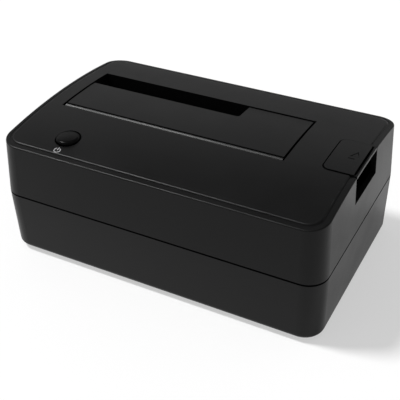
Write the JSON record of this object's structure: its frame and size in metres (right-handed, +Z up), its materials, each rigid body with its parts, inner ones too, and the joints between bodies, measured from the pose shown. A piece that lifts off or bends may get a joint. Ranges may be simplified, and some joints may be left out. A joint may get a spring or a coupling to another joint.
{
  "type": "hard drive docking station",
  "caption": "Desktop dock that takes a bare drive upright on its connector, with a spring flap over the bay, a power button and an eject button that works a lifting lever.",
  "frame": {"origin": "on the table, under the middle of the housing", "axes": "+X along the long front to the right, +Y to the back, +Z up"},
  "size_m": [0.1446, 0.0928, 0.0576],
  "materials": {
    "upper_shell": "fine textured black moulding",
    "lower_shell": "fine textured black moulding",
    "well_plastic": "black moulding",
    "flap_plastic": "fine textured black moulding",
    "button_plastic": "satin black moulding",
    "tab_plastic": "fine textured black moulding",
    "switch_plastic": "satin",
    "plunger_plastic": "satin",
    "lever_plastic": "natural acetal",
    "connector_plastic": "glass-filled black",
    "socket_plastic": "glass-filled black",
    "inlet_plastic": "satin black",
    "chip_epoxy": "moulded epoxy",
    "ferrite": "sintered ferrite",
    "circuit_board": "green solder mask",
    "contact_metal": "gold flash",
    "socket_metal": "nickel plated",
    "pin_steel": "drawn steel",
    "spring_steel": "spring wire",
    "screw_steel": "zinc plated",
    "capacitor_can": "drawn can",
    "crystal_can": "drawn can",
    "foot_rubber": "matt"
  },
  "bodies": {
    "dock": {"upper_housing": "upper_shell", "lower_housing": "lower_shell", "drive_well": "well_plastic", "flap_hinge_pin": "pin_steel", "flap_spring": "spring_steel", "power_switch": "switch_plastic", "eject_spring": "spring_steel", "eject_lever_pin": "pin_steel", "main_circuit_board": "circuit_board", "sata_connector": "connector_plastic", "sata_contacts": "contact_metal", "data_socket_shell": "socket_metal", "data_socket_core": "socket_plastic", "power_inlet": "inlet_plastic", "power_inlet_pin": "contact_metal", "bridge_chip": "chip_epoxy", "regulator_chips": "chip_epoxy", "electrolytic_capacitors": "capacitor_can", "power_inductor": "ferrite", "crystal": "crystal_can", "rubber_feet": "foot_rubber", "case_screws": "screw_steel", "board_screws": "screw_steel", "well_screws": "screw_steel"},
    "flap": {"dust_flap": "flap_plastic"},
    "power_key": {"power_button": "button_plastic", "switch_plunger": "plunger_plastic"},
    "eject_key": {"eject_button": "tab_plastic"},
    "lifter": {"eject_lever": "lever_plastic"}
  },
  "joints": [
    {"name": "flap_hinge", "type": "hinge", "parent": "dock", "child": "flap", "pos_m": [-0.0099, -0.009, 0.05435], "axis": [-1, 0, 0], "range_deg": [0, 85], "stiffness_Nm_per_rad": 0.004, "springref_deg": -57.3},
    {"name": "power_button_press", "type": "slide", "parent": "dock", "child": "power_key", "axis": [0, 0, -1], "range_m": [0, 0.002], "stiffness_N_per_m": 400, "springref_m": -0.002},
    {"name": "eject_press", "type": "slide", "parent": "dock", "child": "eject_key", "axis": [0, 0, -1], "range_m": [0, 0.006], "stiffness_N_per_m": 250, "springref_m": -0.004, "deforming": ["eject_spring"]},
    {"name": "eject_lever_turn", "type": "hinge", "parent": "dock", "child": "lifter", "pos_m": [0.0475, 0.0018, 0.0145], "axis": [0, 1, 0], "range_deg": [0, 20]}
  ],
  "couplings": [
    {"joint": "eject_lever_turn", "follows": "eject_press", "rad_per_m": 56.6}
  ]
}
